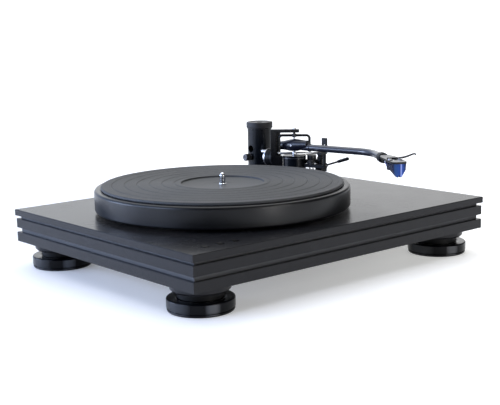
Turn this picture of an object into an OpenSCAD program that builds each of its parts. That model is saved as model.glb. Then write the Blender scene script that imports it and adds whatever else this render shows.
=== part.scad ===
// Turntable record player: three-board plinth, direct-drive platter and an S-shaped tonearm
// on a height tower. Millimetres. The origin is on the floor under the middle of the plinth,
// +X to the right, +Y to the back, +Z up.

/* [Plinth] */
// Plinth width, left to right
plinth_w = 462; // [456:1:480]
// Plinth depth, front to back
plinth_d = 362; // [360:1:376]
// Thickness of the top board
top_board_t = 7.6; // [7:0.1:9]
// Height of the slot under the top board
upper_gap = 3.7; // [3:0.1:5]
// Thickness of the middle board
middle_board_t = 11.4; // [10:0.1:13]
// Height of the slot under the middle board
lower_gap = 5.6; // [5:0.1:7]
// Thickness of the bottom board
bottom_board_t = 11.7; // [11:0.1:14]
// Depth of the slots between the boards
slot_depth = 5.5; // [4:0.5:8]

/* [Feet] */
// Floor to the underside of the plinth
foot_h = 30.5; // [30.5:0.5:36]
// Radius of the turning ring of a foot
foot_ring_r = 36.5; // [34:0.5:38]
// Distance of a foot from the middle, left to right
foot_x = 190.8; // [185:0.2:191]
// Distance of a foot from the middle, front to back
foot_y = 140; // [136:1:141]

/* [Platter] */
// Platter centre, left to right
platter_x = -46.3; // [-48:0.1:-45]
// Platter centre, front to back
platter_y = -1.6; // [-3:0.1:0]
// Platter radius
platter_r = 155; // [152:0.5:156]
// Platter thickness
platter_t = 25; // [24:0.5:26]
// Gap between the plinth and the platter
platter_gap = 4; // [4:0.5:5]
// Mat radius
mat_r = 147; // [145:0.5:150]
// Mat thickness
mat_t = 3.6; // [3:0.1:4]
// Radius of the spindle pin
pin_r = 3.6; // [3.5:0.05:3.65]

/* [Tonearm] */
// Arm pivot, left to right
pivot_x = 151.6; // [151:0.1:152]
// Arm pivot, front to back
pivot_y = 82; // [81:0.5:83]
// Angle of the parked arm from straight ahead
rest_angle = 10; // [9:0.5:11]
// Height of the arm tube's axis above the plinth
arm_rise = 50.1; // [50:0.1:51]
// Pivot to the corner of the tube's bend
bend_y = 127.7; // [126:0.1:129]
// Angle of the tube's bend
bend_angle = 42.5; // [41:0.5:44]
// Radius of the tube's bend
bend_r = 55; // [50:1:60]
// Corner of the bend to the stylus
stylus_reach = 119.7; // [118:0.1:121]
// Outer radius of the arm tube
tube_r = 4.75; // [4.5:0.05:4.75]

/* [Height tower] */
// Tower centre, left to right
tower_x = 155.6; // [154:0.1:157]
// Tower centre, front to back
tower_y = 160; // [159:0.5:161]
// Tower radius
tower_r = 17.5; // [17.5:0.1:18]
// Radius of the dial on the tower
dial_r = 18.9; // [18.5:0.1:19.5]
// Height of the tower with its dial above the plinth
tower_h = 79.8; // [79:0.2:81]

/* [Hidden] */
$fn = 96;

run = 0.05;                       // radial clearance of a running fit
eps = 0.5;                        // how far a cutter runs past a face

// Heights of the plinth's layers
bottom_z = foot_h;
lower_gap_z = bottom_z + bottom_board_t;
middle_z = lower_gap_z + lower_gap;
upper_gap_z = middle_z + middle_board_t;
top_z = upper_gap_z + upper_gap;
deck_z = top_z + top_board_t;
step_in = 1.2;                    // the lower boards stand this far inside the top board
edge_bevel = 0.7;

// Motor and platter
rotor_r = 53;
rotor_wall = 2;
rotor_hole_r = rotor_r + 3;
motor_bay_r = 66;
housing_r = 9;
shaft_r = 5;
bearing_floor = bottom_z + 6;     // the thrust ball stands on this
ball_r = 3;
platter_z = deck_z + platter_gap;
mat_z = platter_z + platter_t;
mat_top = mat_z + mat_t;
boss_r = 7;
hub_r = 4.5;                      // part of the spindle that centres the platter
seat_z = platter_z + 15.5;        // shoulder of the spindle that carries the platter
label_r = 50;
grooves = [58, 73, 88, 103, 118, 133];
groove_w = 1.2;
groove_t = 0.5;

// Speed keys
key_r = 4.2;
key_y = -158;
key_pitch = 19.6;
key_x0 = -197.6;
key_travel = 1;
key_top = deck_z + 0.5;
key_stem_z = top_z - 3;

// Rear recess for the connectors, and the bay in front of it for the electronics
recess_x = -150;
recess_w = 100;
recess_d = 20.5;
recess_z = bottom_z + 3.5;
recess_h = 24;
recess_y = plinth_d / 2 - recess_d;
bay_d = 66;
connector_z = recess_z + recess_h / 2;
plate_y = recess_y + 3;
rca_x = [recess_x + 18, recess_x + 36];
ground_x = recess_x + 54;
dc_x = recess_x + 80;

// Screws that hold the boards together, and those of the motor
board_screw_at = [[-217, -167], [217, -167], [-217, 167], [217, 167],
    [0, -164], [0, 164], [-214, 0], [214, 0]];
screw_r = 2;
screw_head_r = 4.5;
motor_screw_r = 46;               // screw circle of the motor
motor_screw_turns = [45, 135, 225, 315];
motor_base_t = 3;
poles = 12;                       // teeth and coils of the motor
stator_z = deck_z - 17.5;
stator_t = 6;

// Feet
ring_h = 14.4;
neck_z = 14.7;
socket_z = 21.5;
stud_r = 4;
foot_at = [[-foot_x, -foot_y], [foot_x, -foot_y], [-foot_x, foot_y], [foot_x, foot_y]];

// Tonearm
arm_z = deck_z + arm_rise;
hub_z = arm_z + 2;                // height of the pitch axis
hub_len = 24;                     // half the length of the hub
hub_tilt = 4.5;
plate_top = arm_z + 4.8;
plate_t = 2.5;
base_t = 5;                       // arm base plate
post_r = 10;
collar_r = 16;
carriage_z = deck_z + base_t + 3.3;
tower_base = deck_z + base_t;
dial_t = 9.1;
shell_top = deck_z + tower_h - dial_t - 0.3;
tower_in = 14;
nut_r = tower_in - 0.3;
lead_r = 4;                       // lead screw
lock_stem_r = 2.5;
yaw_r = 1.5;                      // vertical shaft of the arm
pitch_r = 1.2;                    // level shaft of the arm
lock_z = deck_z + 30;
hole_z = deck_z + 41.5;
collar_top = deck_z + 37.7;
flange_t = 5.2;
bridge_t = 3;
yoke_angle = -46;                 // direction of the beam and the cage from the pivot
beam_z = deck_z + 69.9;
beam_t = 4.4;
beam_w = 8.4;
pillar_out = 29;                  // pivot to the middle of the pillar
pillar_w = 8;
cage_half = 21.2;
cage_top = deck_z + 65.7;
cage_bottom = deck_z + 40.7;
cage_rod = 1.8;
bar_rod = 1.9;
weight_z = deck_z + 32.5;
weight_r = 12;
weight_y = 32;
weight_len = 15;
rod_z = weight_z + 7;
rod_r = 3;
stub_z = hub_z + 1.6;             // stub behind the hub, which the counterweight's rod hangs from
stub_r = 3.2;
tangent = bend_r * tan(bend_angle / 2);
tube_end = 52;                    // corner of the bend to the end of the tube
screw_y = stylus_reach - 9.5;     // cartridge screws
screw_x = 6.35;
body_top = plate_top - plate_t - 0.05;
cap_t = 3.4;                      // upper part of the cartridge, which the screws hold
holder_front = 8.6;               // the stylus holder, in front of the stylus and behind it
holder_back = 12;

// Lift, rest and anti-skate
rail_arc_r = 37;
rail_r = 1.5;
rail_z = arm_z - tube_r - 0.5 - rail_r;
lift_angle = -42.5;
lift_x = rail_arc_r * cos(lift_angle);
lift_y = rail_arc_r * sin(lift_angle);
lift_z = deck_z + 34.5;           // top of the lift cylinder
rest_bar_z = lift_z - 12.5;       // bar of the arm rest, under the lift bracket
rest_bar_t = 4;
lift_stem_r = 5.5;                // outside of the lift cylinder
plunger_r = 2;
axle_r = 1.6;                     // axle of the lever
lever_z = deck_z + 21.7;
lever_x = 7.6;                    // lever's plane from the lift cylinder's axis
lever_len = 48.2;
lever_rise = 17.1;
rest_out = 46;                    // pivot to the rest
fork_x = 7.7;
latch_z = arm_z + 9.2;
latch_pin_r = 0.8;
skate_out = 25;
skate_angle = -68;
skate_pin_r = 1.5;

// ---------------------------------------------------------------- shared shapes

module at_platter() { translate([platter_x, platter_y, 0]) children(); }
module at_tower() { translate([tower_x, tower_y, 0]) children(); }
module at_pivot() { translate([pivot_x, pivot_y, 0]) children(); }
// Arm frame: the pivot at the origin, -Y forward along the parked tube
module in_arm() { at_pivot() rotate(rest_angle) children(); }
// Headshell frame: the corner of the bend at the origin, -Y forward to the stylus
module in_shell() { in_arm() translate([0, -bend_y, 0]) rotate(-bend_angle) children(); }

module tube(r_out, r_in, z, h) {
    translate([0, 0, z]) difference() {
        cylinder(r = r_out, h = h);
        translate([0, 0, -eps]) cylinder(r = r_in, h = h + 2 * eps);
    }
}

module block(w, d, z, h) { translate([-w / 2, -d / 2, z]) cube([w, d, h]); }

module disc(r, z, h) { translate([0, 0, z]) cylinder(r = r, h = h); }

// Straight round rod between two points
module rod(a, b, r) {
    v = b - a;
    len = norm(v);
    translate(a) rotate([0, acos(v[2] / len), atan2(v[1], v[0])]) cylinder(r = r, h = len);
}

// Bar with round ends, from a to b; the straight part is a hair narrower than the ends
module bar(a, b, half, z, h) {
    v = b - a;
    flank = half * 0.997;
    translate([0, 0, z]) linear_extrude(h) union() {
        translate(a) circle(r = half);
        translate(b) circle(r = half);
        translate(a) rotate(atan2(v[1], v[0])) translate([0, -flank]) square([norm(v), 2 * flank]);
    }
}

// Board with its two upper edges bevelled all round
module board(w, d, z, t, bevel) {
    translate([0, 0, z]) intersection() {
        translate([0, d / 2, 0]) rotate([90, 0, 0]) linear_extrude(d) board_section(w, t, bevel);
        translate([-w / 2, 0, 0]) rotate([90, 0, 90]) linear_extrude(w) board_section(d, t, bevel);
    }
}

module board_section(w, t, bevel) {
    polygon([[-w / 2, 0], [w / 2, 0], [w / 2, t - bevel], [w / 2 - bevel, t],
        [-w / 2 + bevel, t], [-w / 2, t - bevel]]);
}

module screw_holes(r) {
    for (p = board_screw_at) translate([p[0], p[1], 0]) disc(r, bottom_z - eps, deck_z - bottom_z - 2);
}

module stud_holes() {
    for (p = foot_at) translate([p[0], p[1], bottom_z - eps]) cylinder(r = stud_r + run, h = 14 + eps);
}

module motor_bay() { at_platter() disc(motor_bay_r, lower_gap_z - eps, top_z - lower_gap_z + eps); }

module electronics_bay() {
    translate([recess_x, recess_y - bay_d, lower_gap_z])
        cube([recess_w, bay_d + eps, top_z - lower_gap_z]);
}

module connector_recess() {
    translate([recess_x, recess_y, recess_z]) cube([recess_w, recess_d + 1, recess_h]);
}

// Room in the bottom board for the inner ends of the connectors
module socket_pocket() {
    translate([recess_x + 8, recess_y - 12, connector_z - 6])
        cube([recess_w - 16, 12 + eps, lower_gap_z - connector_z + 6 + eps]);
}

module key_bay() {
    translate([key_x0 - 12, key_y - 10, middle_z]) cube([2 * key_pitch + 24, 20, top_z - middle_z]);
}

// Way for the guide post and the arm's leads, down into the electronics
module post_hole() { at_pivot() disc(post_r + run, middle_z + 3, deck_z); }

// ---------------------------------------------------------------- plinth

module top_board() {
    color("dimgray") difference() {
        board(plinth_w, plinth_d, top_z, top_board_t, edge_bevel);
        at_platter() disc(rotor_hole_r, top_z - eps, top_board_t + 2 * eps);
        for (i = [0:2]) translate([key_x0 + i * key_pitch, key_y, top_z - eps])
            cylinder(r = key_r + 0.35, h = top_board_t + 2 * eps);
        post_hole();
        screw_holes(screw_r + run);
    }
}

module spacer(z, t) {
    color("black") difference() {
        block(plinth_w - 2 * slot_depth, plinth_d - 2 * slot_depth, z, t);
        motor_bay();
        electronics_bay();
        connector_recess();
        key_bay();
        post_hole();
        screw_holes(screw_r + run);
        stud_holes();
    }
}

module upper_spacer() { spacer(upper_gap_z, upper_gap); }

module middle_board() {
    color("dimgray") difference() {
        board(plinth_w - 2 * step_in, plinth_d - 2 * step_in, middle_z, middle_board_t, edge_bevel / 2);
        motor_bay();
        electronics_bay();
        connector_recess();
        key_bay();
        post_hole();
        screw_holes(screw_r + run);
    }
}

module lower_spacer() { spacer(lower_gap_z, lower_gap); }

module bottom_board() {
    color("dimgray") difference() {
        board(plinth_w - 2 * step_in, plinth_d - 2 * step_in, bottom_z, bottom_board_t, edge_bevel / 2);
        connector_recess();
        socket_pocket();
        screw_holes(screw_r + run);
        for (p = board_screw_at) translate([p[0], p[1], 0])
            disc(screw_head_r + 0.1, bottom_z - eps, 3 + eps);
        stud_holes();
        at_platter() disc(housing_r + run, bottom_z + 3, bottom_board_t);
        at_platter() for (a = motor_screw_turns) rotate(a) translate([motor_screw_r, 0, 0])
            disc(screw_r + run, bottom_z + 3, bottom_board_t);
    }
}

module plinth_screws() {
    color("gray") {
        for (p = board_screw_at) translate([p[0], p[1], 0]) {
            disc(screw_head_r, bottom_z + 0.2, 2.7);
            disc(screw_r, bottom_z + 2.9, deck_z - bottom_z - 6);
        }
        at_platter() for (a = motor_screw_turns) rotate(a) translate([motor_screw_r, 0, 0]) {
            disc(screw_head_r - 1, lower_gap_z + motor_base_t + 0.1, 2.4);
            disc(screw_r, bottom_z + 4, bottom_board_t + motor_base_t - 4 + 0.2);
        }
    }
}

// ---------------------------------------------------------------- motor and bearing

module motor_base() {
    color("silver") at_platter() difference() {
        disc(58, lower_gap_z + 0.1, motor_base_t);
        disc(housing_r + run, lower_gap_z - eps, 5);
        for (a = motor_screw_turns) rotate(a) translate([motor_screw_r, 0, 0])
            disc(screw_r + run, lower_gap_z - eps, 5);
    }
}

module bearing_housing() {
    color("goldenrod") at_platter() difference() {
        disc(housing_r, bottom_z + 3.5, deck_z - bottom_z - 5.5);
        disc(boss_r + run, bearing_floor, deck_z - bottom_z);
    }
}

module bearing_bushes() {
    color("darkgoldenrod") at_platter() for (z = [bottom_z + 14.5, deck_z - 9])
        tube(boss_r, shaft_r + run, z, 6.5);
}

module thrust_ball() {
    color("silver") at_platter() translate([0, 0, bearing_floor + ball_r]) sphere(r = ball_r);
}

module stator_core() {
    color("slategray") at_platter() difference() {
        union() {
            disc(18, stator_z, stator_t);
            for (i = [0:poles - 1]) rotate(i * 360 / poles) {
                translate([15, -2.5, stator_z]) cube([28, 5, stator_t]);
                intersection() {
                    tube(45.5, 42, stator_z, stator_t);
                    translate([38, -9, stator_z]) cube([10, 18, stator_t]);
                }
            }
        }
        disc(housing_r + run, stator_z - eps, stator_t + 2 * eps);
    }
}

module stator_coils() {
    color("peru") at_platter() for (i = [0:poles - 1]) rotate(i * 360 / poles) difference() {
        translate([21.5, -4.6, stator_z - 2.4]) cube([19.5, 9.2, stator_t + 4.8]);
        translate([21, -2.6, stator_z - 0.1]) cube([21, 5.2, stator_t + 0.2]);
    }
}

module rotor_cup() {
    top = deck_z + 1.5;
    web = 2.5;
    foot = lower_gap_z + 6;
    color("lightsteelblue") at_platter() rotate_extrude() polygon([[shaft_r + run, top - web],
        [rotor_r - rotor_wall, top - web], [rotor_r - rotor_wall, foot], [rotor_r, foot], [rotor_r, top],
        [shaft_r + run, top]]);
}

module rotor_magnet() {
    color("black") at_platter() tube(rotor_r - rotor_wall - run, 47.5, stator_z - 3, 12);
}

module spindle() {
    tip = mat_top + 11.1;
    foot = bearing_floor + 2 * ball_r + 0.1;
    flange = deck_z + 1.6;
    color("lightgray") at_platter() rotate_extrude() polygon([[0, foot], [shaft_r, foot],
        [shaft_r, flange], [boss_r, flange], [boss_r, seat_z], [hub_r, seat_z],
        [hub_r, mat_top - 2], [pin_r, mat_top - 2], [pin_r, tip - 3.2], [2.6, tip - 1.2], [1.2, tip - 0.2],
        [0.6, tip], [0, tip]]);
}

module platter() {
    r = platter_r;
    z = platter_z;
    t = platter_t;
    color("black") at_platter() rotate_extrude() polygon([[boss_r + run, z], [22, z], [22, z + 12],
        [r - 22, z + 15], [r - 14, z + 3], [r - 14, z], [r - 1.6, z], [r - 0.5, z + 0.5], [r, z + 1.6],
        [r, z + t - 1.6], [r - 0.5, z + t - 0.5], [r - 1.6, z + t], [hub_r + run, z + t],
        [hub_r + run, seat_z], [boss_r + run, seat_z]]);
}

module record_mat() {
    color("dimgray") at_platter() difference() {
        tube(mat_r, hub_r + 0.2, mat_z, mat_t);
        disc(label_r, mat_top - 2, 3);
        for (r = grooves) tube(r + groove_w / 2, r - groove_w / 2, mat_top - groove_t, 1);
    }
}

// ---------------------------------------------------------------- electronics and connectors

module control_board() {
    z = lower_gap_z + 4;
    y = recess_y - bay_d;
    board_d = bay_d - 20;         // stops short of the connectors
    color("darkgreen") union() {
        translate([recess_x + 4, y + 4, z]) cube([recess_w - 8, board_d, 1.6]);
        for (x = [0, 1], v = [0, 1])
            translate([recess_x + 8 + x * (recess_w - 16), y + 8 + v * (board_d - 8), 0])
                disc(2.5, lower_gap_z, 4);
        translate([recess_x + 16, y + 14, z + 1.6]) cube([16, 16, 2.2]);
        translate([recess_x + 44, y + 12, z + 1.6]) cube([9, 26, 7]);
        for (i = [0:2]) translate([recess_x + 66 + i * 9, y + 20, 0]) disc(3.4, z + 1.6, 8);
        translate([recess_x + 64, y + 38, z + 1.6]) cube([24, 10, 6]);
    }
}

module key_board() {
    z = middle_z + 3;
    color("darkgreen") union() {
        translate([key_x0 - 10, key_y - 8, z]) cube([2 * key_pitch + 20, 16, 1.6]);
        for (i = [0, 1]) translate([key_x0 - 7 + i * (2 * key_pitch + 14), key_y, 0]) disc(2, middle_z, 3);
        for (i = [0:2]) translate([key_x0 + i * key_pitch, key_y, 0]) {
            block(6, 6, z + 1.6, 3.4);
            disc(1.7, z + 5, key_stem_z - key_travel - 0.1 - z - 5);
        }
    }
}

module speed_key(i) {
    color("black") translate([key_x0 + i * key_pitch, key_y, 0]) union() {
        disc(key_r, top_z - 0.5, key_top - top_z + 0.5);
        disc(key_r + 1.4, top_z - 1.8, 1.6);
        disc(2, key_stem_z, 2);
    }
}

module speed_key_33() { speed_key(0); }
module speed_key_45() { speed_key(1); }
module speed_key_78() { speed_key(2); }

// Round hole or barrel along +Y, from y to y + h
module along_y(x, y, z, r, h) { translate([x, y, z]) rotate([-90, 0, 0]) cylinder(r = r, h = h); }

module terminal_plate() {
    color("darkgray") difference() {
        translate([recess_x + 0.3, recess_y + 0.3, recess_z + 0.3])
            cube([recess_w - 0.6, plate_y - recess_y - 0.3, recess_h - 0.6]);
        for (x = rca_x) along_y(x, recess_y - 1, connector_z, 4 + run, 5);
        along_y(ground_x, recess_y - 1, connector_z, 2 + run, 5);
        along_y(dc_x, recess_y - 1, connector_z, 4.5 + run, 5);
    }
}

module rca_jacks() {
    color("gold") for (x = rca_x) difference() {
        union() {
            along_y(x, recess_y - 6, connector_z, 4, 17.5);
            along_y(x, plate_y, connector_z, 6, 1.6);
        }
        along_y(x, plate_y + 1, connector_z, 1.6, 12);
        difference() {
            along_y(x, plate_y + 3, connector_z, 3.4, 12);
            along_y(x, plate_y, connector_z, 2.6, 20);
        }
    }
}

module ground_post() {
    color("gold") union() {
        along_y(ground_x, recess_y - 4, connector_z, 2, 18);
        along_y(ground_x, plate_y, connector_z, 4, 1);
        along_y(ground_x, plate_y + 3.5, connector_z, 4.6, 4.5);
    }
}

module dc_inlet() {
    color("black") difference() {
        union() {
            along_y(dc_x, recess_y - 10, connector_z, 4.5, 13);
            along_y(dc_x, plate_y, connector_z, 6, 2);
        }
        difference() {
            along_y(dc_x, recess_y - 6, connector_z, 2.8, 14);
            along_y(dc_x, recess_y - 6, connector_z, 1, 8.4);
        }
    }
}

// ---------------------------------------------------------------- feet

module foot_sockets() {
    color("dimgray") for (p = foot_at) translate([p[0], p[1], 0]) rotate_extrude() polygon([
        [stud_r + run, socket_z], [30.2, socket_z], [32.5, socket_z + 2.3], [32.5, foot_h],
        [stud_r + run, foot_h]]);
}

module foot_necks() {
    color("black") for (p = foot_at) translate([p[0], p[1], 0]) union() {
        disc(25, neck_z, socket_z - neck_z);
        disc(stud_r, 4, foot_h + 10);
    }
}

// Quarter round of radius c, as points about (x, z) from angle a to b
function arc(x, z, c, a, b) =
    [for (i = [0:4]) let (t = a + (b - a) * i / 4) [x + c * cos(t), z + c * sin(t)]];

module foot_ring(i) {
    r = foot_ring_r;
    color("black") translate([foot_at[i][0], foot_at[i][1], 0]) rotate_extrude() polygon(concat(
        [[0, 0]], arc(r - 2.1, 1.5, 1.5, -90, 0), [[r - 0.6, 3.2], [r - 1.4, 3.4], [r - 1.4, 4.1], [r, 4.3]],
        arc(r - 3, ring_h - 3, 3, 0, 90), [[stud_r + run, ring_h], [stud_r + run, 3], [0, 3]]));
}

module foot_ring_front_left() { foot_ring(0); }
module foot_ring_front_right() { foot_ring(1); }
module foot_ring_back_left() { foot_ring(2); }
module foot_ring_back_right() { foot_ring(3); }

// ---------------------------------------------------------------- arm base and height tower

module arm_base_plate() {
    color("black") difference() {
        bar([tower_x, tower_y], [pivot_x, pivot_y], 20, deck_z, base_t);
        at_pivot() disc(post_r + run, deck_z - eps, base_t + 1);
        at_tower() disc(lead_r + 0.3, deck_z + 2, base_t + 1);
    }
}

module guide_post() {
    color("silver") at_pivot() tube(post_r, 6, middle_z + 3, deck_z + 31 - middle_z - 3);
}

module height_tower() {
    color([0.07, 0.08, 0.1]) at_tower() difference() {
        disc(tower_r, tower_base, shell_top - tower_base);
        disc(tower_in, tower_base - eps, shell_top - tower_base - 4 + eps);
        disc(lead_r + run, tower_base, tower_h);
        translate([-7.5, -tower_r - 1, tower_base - eps]) cube([15, tower_r, 14]);
        for (d = [[lock_z, lock_stem_r + run], [hole_z, 5.2]]) translate([-tower_r - 1, 0, d[0]])
            rotate([0, 90, 0]) cylinder(r = d[1], h = 8);
        tube(tower_r + 1, tower_r - 0.5, shell_top - 6, 0.9);
    }
}

module height_dial() {
    z = shell_top + 0.3;
    color("dimgray") at_tower() rotate_extrude() polygon([[lead_r, z], [dial_r - 0.8, z], [dial_r, z + 0.6],
        [dial_r, z + dial_t - 1], [dial_r - 0.8, z + dial_t - 0.2], [dial_r - 1.8, z + dial_t],
        [dial_r - 4, z + dial_t], [dial_r - 5, z + dial_t - 1],
        [lead_r, z + dial_t - 1]]);
}

module lead_screw() {
    color("silver") at_tower() disc(lead_r - run, tower_base - 2.8, shell_top - tower_base + 8);
}

module height_lock() {
    color("dimgray") at_tower() translate([0, 0, lock_z]) rotate([0, -90, 0]) union() {
        disc(lock_stem_r, nut_r + 0.1, 6);
        disc(3.4, tower_r + 0.3, 2.5);
        disc(5, tower_r + 1.8, 9.8);
    }
}

// ---------------------------------------------------------------- arm carriage

module arm_carriage() {
    reach = tower_y - pivot_y;
    yoke = [pillar_out * cos(180 + yoke_angle), pillar_out * sin(180 + yoke_angle)];
    color([0.07, 0.08, 0.1]) difference() {
        union() {
            at_pivot() disc(collar_r, carriage_z, collar_top - carriage_z);
            at_pivot() disc(collar_r + 3, carriage_z, flange_t);
            at_pivot() bar([0, 0], yoke, 5, carriage_z, flange_t);
            bar([pivot_x, pivot_y + 12], [tower_x, tower_y], 6, carriage_z, bridge_t);
            at_tower() disc(nut_r, carriage_z, 30);
        }
        at_pivot() disc(post_r + run, carriage_z - eps, collar_top - carriage_z - 3 + eps);
        at_pivot() disc(yaw_r + run, collar_top - 8, 12);
        at_tower() disc(lead_r, carriage_z - eps, 40);
    }
}

module bearing_yoke() {
    z = carriage_z + flange_t;
    outer = -pillar_out - pillar_w / 2;
    behind = 2.4;                 // the pillar's back plate clears the crossbar's ball end
    color([0.05, 0.05, 0.06]) at_pivot() rotate(yoke_angle) difference() {
        union() {
            translate([outer, -beam_w / 2, z]) cube([pillar_w, beam_w, beam_z + beam_t - z]);
            translate([outer, -beam_w / 2, beam_z]) cube([pillar_out + 11, beam_w, beam_t]);
            translate([outer, -beam_w / 2, z]) cube([-outer - 15, beam_w, collar_top - z]);
            translate([outer, behind, z]) cube([pillar_w + 5.5, beam_w / 2 - behind, beam_z + 1 - z]);
        }
        disc(collar_r + 0.02, z - eps, collar_top - z + 1);
        disc(yaw_r + run, beam_z - eps, beam_t + 1);
        translate([-pillar_out, 0, z + 8]) rotate([90, 0, 0]) translate([0, 0, -6]) cylinder(r = 1.6, h = 12);
    }
}

// Half of the bent rod from the middle of the top to the foot of one leg
module cage_side() {
    c = 4;
    rod([0, 0, cage_top], [cage_half - c, 0, cage_top], cage_rod);
    translate([cage_half - c, 0, cage_top - c]) rotate([90, 0, 0]) rotate_extrude(angle = 90)
        translate([c, 0]) circle(r = cage_rod);
    rod([cage_half, 0, cage_top - c], [cage_half, 0, cage_bottom + bar_rod + 0.35], cage_rod);
}

module bearing_cage() {
    color([0.05, 0.05, 0.06]) at_pivot() rotate(yoke_angle) difference() {
        union() {
            cage_side();
            mirror([1, 0, 0]) cage_side();
            disc(3.2, cage_top - 2.3, 4.6);
            disc(yaw_r, cage_top, beam_z + beam_t - cage_top);
        }
        disc(yaw_r + run, cage_top - 3, 3.1);
    }
}

module cage_crossbar() {
    end = cage_half + 0.9;
    color("white") at_pivot() rotate(yoke_angle) difference() {
        union() {
            rod([-end, 0, cage_bottom], [end, 0, cage_bottom], bar_rod);
            for (s = [-1, 1]) translate([s * end, 0, cage_bottom]) sphere(r = bar_rod + 0.3);
            disc(3.2, collar_top + 0.1, cage_bottom + bar_rod + 0.2 - collar_top);
        }
        disc(yaw_r + run, collar_top - eps, 12);
    }
}

module lift_bracket() {
    z = lift_z - 8;
    drum_out = 24;                // the height adjuster between the collar and the cylinder
    drum_r = 6;
    color([0.05, 0.05, 0.06]) at_pivot() difference() {
        union() {
            rotate(lift_angle) translate([collar_r - 1, -4.5, z]) cube([rail_arc_r - collar_r - 4, 9, 5.5]);
            translate([lift_x, lift_y, 0]) disc(6.9, z, 5.5);
            for (d = [21.5, 26]) rotate(lift_angle) translate([d, 0, 0]) disc(0.9, z - 9, 9 + eps);
            rotate(lift_angle) translate([drum_out, 0, 0]) disc(drum_r, z + 5, 6.7);
        }
        disc(collar_r + 0.02, z - eps, 8);
        translate([lift_x, lift_y, 0]) disc(lift_stem_r + 0.02, z - eps, 8);
    }
}

module lift_cylinder() {
    box_z = lift_z - 20;
    color("dimgray") at_pivot() translate([lift_x, lift_y, 0]) difference() {
        union() {
            disc(lift_stem_r, box_z + 10, lift_z - box_z - 10);
            disc(lift_stem_r - 0.8, lift_z - 1, rail_z - plunger_r - 0.5 - lift_z + 1);
            block(2 * lift_stem_r, 12, box_z, 11);
        }
        disc(plunger_r + run, box_z + 9, 30);
        translate([0, 0, lever_z]) rotate([0, 90, 0]) translate([0, 0, -4])
            cylinder(r = axle_r + run, h = 12);
        block(6, 8.4, lever_z - 4.2, 8.4);
    }
}

module lift_rail() {
    start = -128;
    sweep = lift_angle - start;
    color("white") at_pivot() union() {
        translate([0, 0, rail_z]) rotate(start) rotate_extrude(angle = sweep)
            translate([rail_arc_r, 0]) circle(r = rail_r);
        translate([lift_x, lift_y, rail_z]) sphere(r = plunger_r + 0.2);
        translate([lift_x, lift_y, 0]) disc(plunger_r, lever_z + 6.1, rail_z - lever_z - 6.1);
    }
}

module cue_lever() {
    grip = 22;
    bend = 20;
    tip = [lever_x, -lever_len * cos(lever_rise), lever_len * sin(lever_rise)];
    color("black") at_pivot() translate([lift_x, lift_y, lever_z]) union() {
        rotate([0, 90, 0]) translate([0, 0, -3.5]) cylinder(r = axle_r, h = lever_x + 5.5);
        rotate([0, 90, 0]) translate([0, 0, -2]) cylinder(r = 3.9, h = 4);
        rotate([0, 90, 0]) translate([0, 0, lever_x - 1.8]) cylinder(r = 3.8, h = 4);
        rod([lever_x, 0, 0], tip, 1.3);
        rod(tip * (1 - grip / lever_len) + [lever_x * grip / lever_len, 0, 0], tip, 2.1);
    }
}

module rest_post() {
    z = rest_bar_z;
    cup_z = arm_z - 8.1;
    color([0.05, 0.05, 0.06]) in_arm() difference() {
        union() {
            bar([4, -13], [fork_x, -rest_out], 3.6, z, rest_bar_t);
            translate([fork_x, -rest_out, 0]) disc(2.2, z, cup_z - z + 1);
            translate([-5.4, -rest_out - 3.6, cup_z]) cube([15, 7.2, 3]);
            for (y = [-3.6, 1.9]) translate([fork_x - 1.6, -rest_out + y, cup_z]) cube([3.5, 1.7, 21.8]);
        }
        disc(collar_r + 0.02, z - eps, 8);
        translate([0, -rest_out + 10, arm_z]) rotate([90, 0, 0]) cylinder(r = tube_r + 0.45, h = 20);
        translate([fork_x, -rest_out + 10, latch_z]) rotate([90, 0, 0])
            cylinder(r = latch_pin_r + run, h = 20);
        rotate(skate_angle + 90 - rest_angle) translate([0, -skate_out, 0])
            disc(skate_pin_r + run, z - eps, 8);
    }
}

module rest_latch() {
    color("black") in_arm() translate([fork_x, -rest_out, latch_z]) union() {
        rotate([90, 0, 0]) translate([0, 0, -3.4]) cylinder(r = latch_pin_r, h = 6.8);
        translate([-1.6, -1.7, -4.4]) cube([3.2, 3.4, 8.9]);
    }
}

module antiskate_dial() {
    z = rest_bar_z + rest_bar_t + 0.1;
    color("dimgray") in_arm() rotate(skate_angle + 90 - rest_angle) translate([0, -skate_out, 0]) union() {
        disc(skate_pin_r, z - 3.6, 4);
        disc(5.4, z, 4.6);
        disc(4.4, z, 5.4);
    }
}

// ---------------------------------------------------------------- tonearm

module pivot_block() {
    low = collar_top - 6;
    color("silver") in_arm() union() {
        disc(yaw_r, low, cage_top - 0.3 - low);
        translate([0, 0, hub_z]) sphere(r = 5.4);
        translate([0, 0, hub_z]) rotate([0, 90, 0]) translate([0, 0, -8.6]) cylinder(r = pitch_r, h = 17.2);
    }
}

// Radius of the hub at distance y from its middle
function hub_radius(y) = 5.9 + 2.7 * (1 + cos(180 * y / hub_len)) / 2;

module arm_hub() {
    steps = 20;
    profile = [for (i = [0:steps]) let (y = hub_len * (2 * i / steps - 1)) [hub_radius(y), y]];
    color([0.08, 0.09, 0.13]) in_arm() difference() {
        translate([0, 0, hub_z]) rotate([-hub_tilt, 0, 0]) rotate([-90, 0, 0])
            rotate_extrude() polygon(concat([[0, -hub_len]], profile, [[0, hub_len]]));
        translate([0, 0, hub_z]) sphere(r = 6.6);
        for (s = [0, 1]) mirror([0, 0, s]) translate([0, 0, s == 0 ? 0 : -2 * hub_z])
            block(3.8, 6, hub_z, 12);
        translate([0, 0, hub_z]) rotate([0, 90, 0]) translate([0, 0, -12])
            cylinder(r = pitch_r + run, h = 24);
        translate([0, -13.5, arm_z]) rotate([90, 0, 0]) cylinder(r = tube_r + run, h = 14);
        translate([0, 14, stub_z]) rotate([-90, 0, 0]) cylinder(r = stub_r + run, h = 14);
    }
}

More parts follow.
